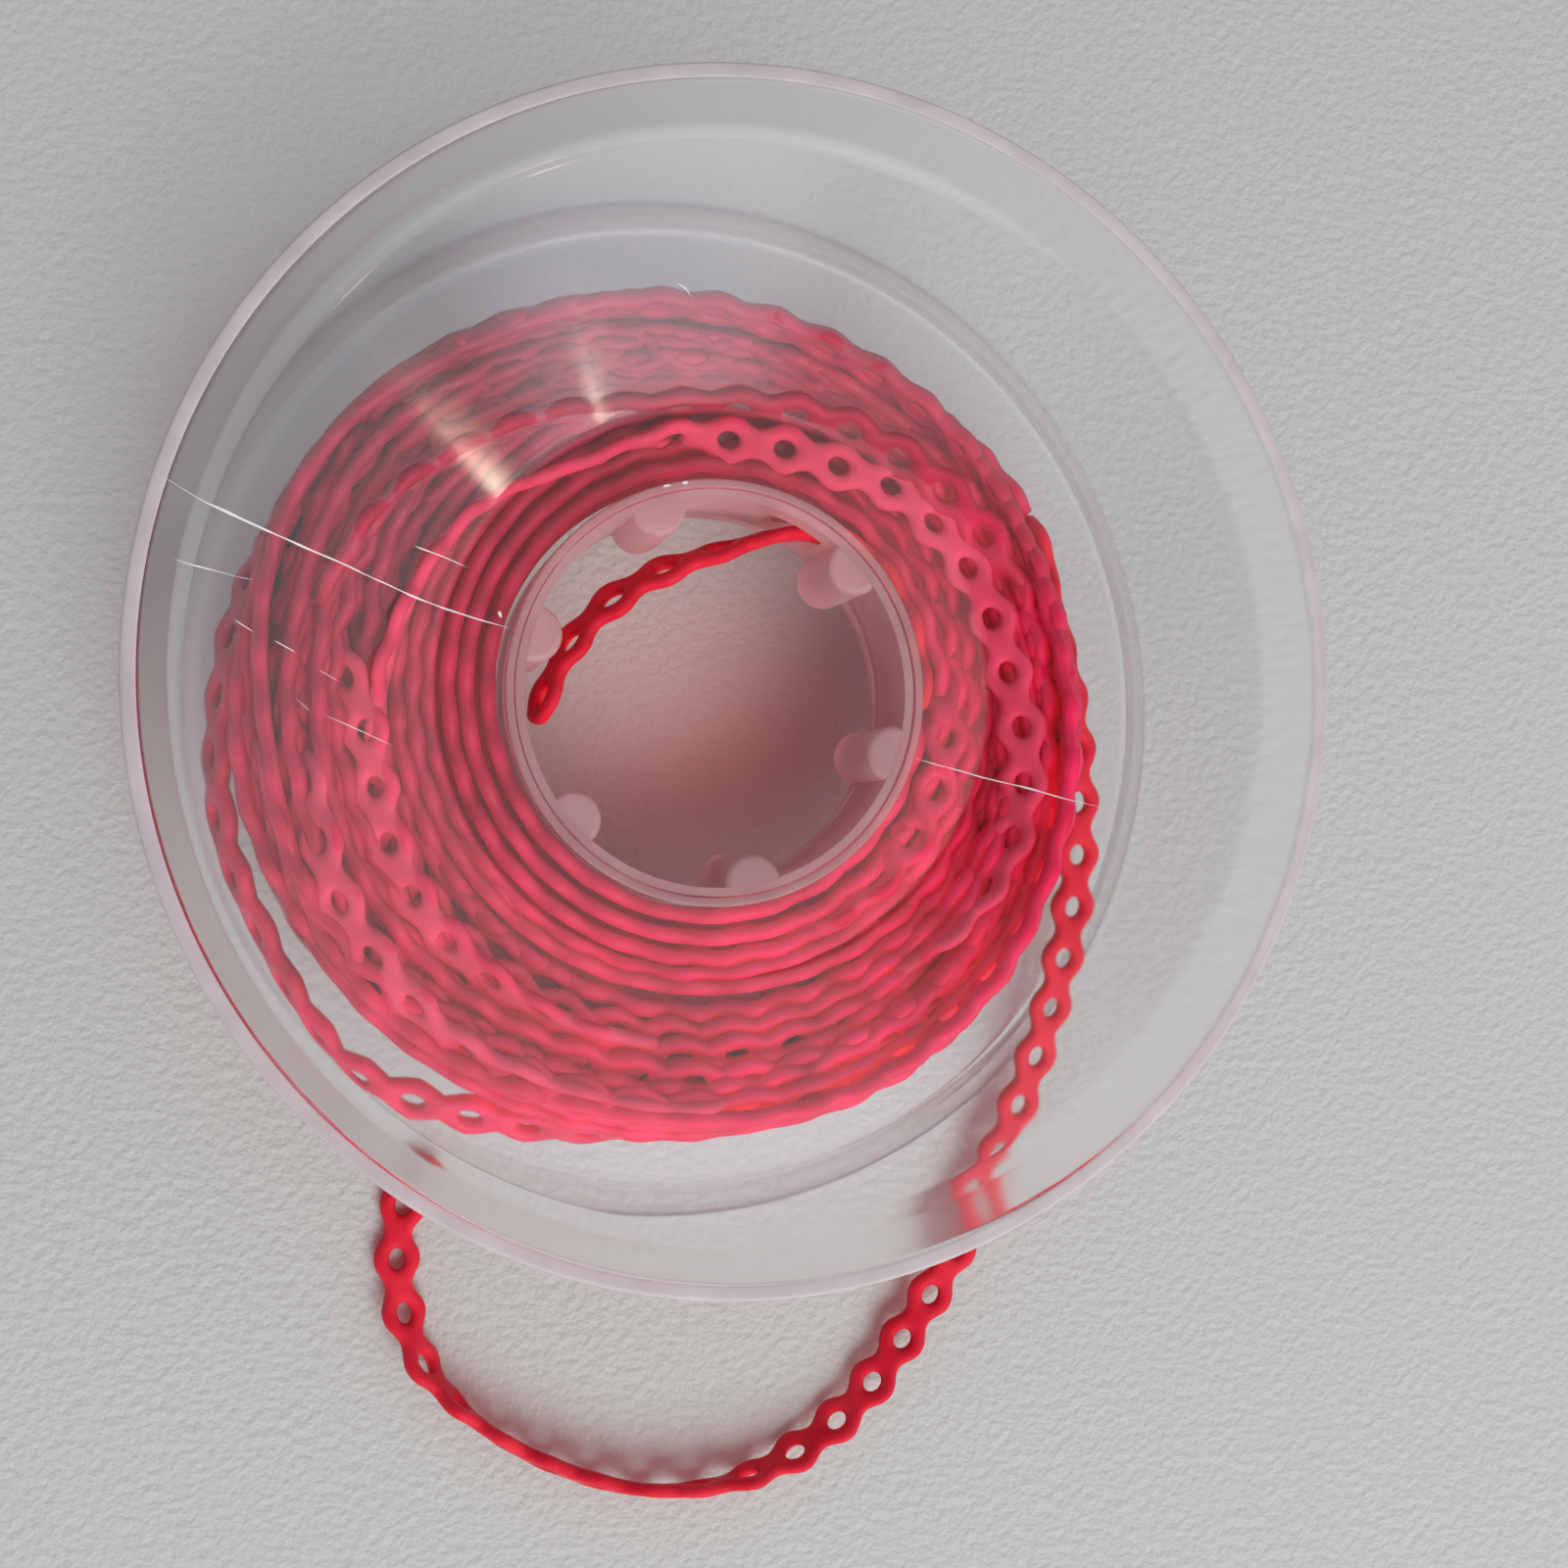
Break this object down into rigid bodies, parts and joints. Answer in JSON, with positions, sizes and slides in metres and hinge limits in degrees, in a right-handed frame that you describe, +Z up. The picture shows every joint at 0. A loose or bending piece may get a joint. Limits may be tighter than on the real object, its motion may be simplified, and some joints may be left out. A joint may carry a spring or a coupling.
{
  "type": "ring chain spool",
  "caption": "Clear two-piece dished spool with a post-lined bore, wound with a red chain of linked elastic rings whose outer end trails round on the surface beside it.",
  "frame": {"origin": "centre of the base, on the surface that the lower rim rests on", "axes": "+Z up along the spool's axis; +X and +Y lie in the base plane, and the free outer end leaves the winding at +X and runs clockwise seen from above"},
  "size_m": [0.06, 0.0761, 0.0205],
  "materials": {
    "clear_plastic": "glossy, clear with a faint lilac tint",
    "red_elastomer": "satin"
  },
  "bodies": {
    "root": {"upper_half": "clear_plastic", "lower_half": "clear_plastic", "chain_core": "red_elastomer", "chain_turns": "red_elastomer", "chain_lead": "red_elastomer", "chain_tail": "red_elastomer"}
  },
  "joints": []
}
